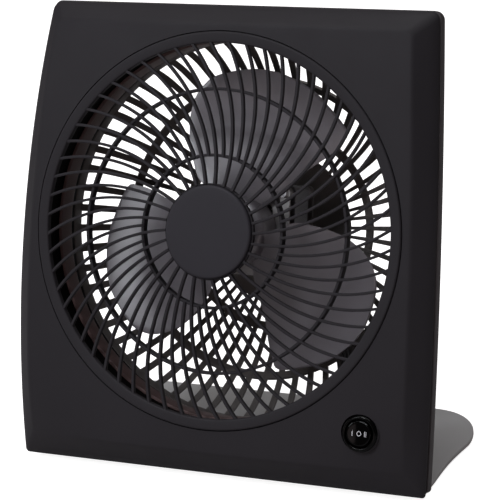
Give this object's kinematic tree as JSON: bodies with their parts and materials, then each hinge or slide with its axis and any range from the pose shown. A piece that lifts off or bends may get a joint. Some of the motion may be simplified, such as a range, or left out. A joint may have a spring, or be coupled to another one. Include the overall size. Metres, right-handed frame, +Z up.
{
  "type": "box fan",
  "caption": "Square desk box fan with a round swept-rib grille, three-blade rotor, bowl-shaped rear guard, round rocker switch and flat rear stand.",
  "frame": {"origin": "centre of the footprint, on the surface the pads rest on", "axes": "+X to the right seen from the front, +Y towards the back, +Z up; the front faces -Y"},
  "size_m": [0.296, 0.1633, 0.2962],
  "materials": {
    "charcoal": "fine matte moulded",
    "dark_plastic": "fine matte moulded",
    "blade_grey": "satin moulded",
    "stand_grey": "fine matte moulded",
    "black_gloss": "gloss moulded",
    "mark_grey": "printed",
    "cream": "satin moulded",
    "pads": "matte",
    "lead_black": "satin",
    "lead_brown": "satin",
    "screw_steel": "zinc plated",
    "bright_steel": "ground",
    "laminations": "punched and varnished",
    "bracket": "die cast",
    "copper": "enamelled winding wire",
    "bronze": "sintered bronze",
    "brass_tab": "stamped"
  },
  "bodies": {
    "fan_body": {"front_housing": "charcoal", "front_grille": "charcoal", "grille_hub_cap": "charcoal", "rear_housing": "dark_plastic", "rear_guard": "dark_plastic", "housing_screws": "screw_steel", "guard_screws": "screw_steel", "stand_plate": "stand_grey", "stand_screws": "screw_steel", "stand_pads": "pads", "motor_front_bracket": "bracket", "motor_rear_bracket": "bracket", "stator_laminations": "laminations", "stator_coils": "copper", "bracket_screws": "screw_steel", "motor_mount_screws": "screw_steel", "front_bearing": "bronze", "rear_bearing": "bronze", "thermal_fuse": "cream", "switch_housing": "black_gloss", "switch_terminals": "brass_tab", "switch_leads": "lead_black", "terminal_block": "cream", "terminal_screws": "screw_steel", "mains_leads": "lead_brown", "cord_gland": "lead_black"},
    "rotor": {"motor_shaft": "bright_steel", "rotor_core": "laminations", "thrust_washers": "cream", "fan_blades": "blade_grey", "blade_nut": "dark_plastic", "drive_pin": "bright_steel"},
    "rocker": {"switch_rocker": "black_gloss", "switch_marks": "mark_grey"}
  },
  "joints": [
    {"name": "rotor_spin", "type": "hinge", "parent": "fan_body", "child": "rotor", "pos_m": [0, -0.01094, 0.15627], "axis": [0, -0.9511, 0.309], "continuous": true},
    {"name": "switch_rock", "type": "hinge", "parent": "fan_body", "child": "rocker", "pos_m": [0.106, -0.07028, 0.04938], "axis": [0, 0.309, 0.9511], "range_deg": [-10, 10]}
  ]
}
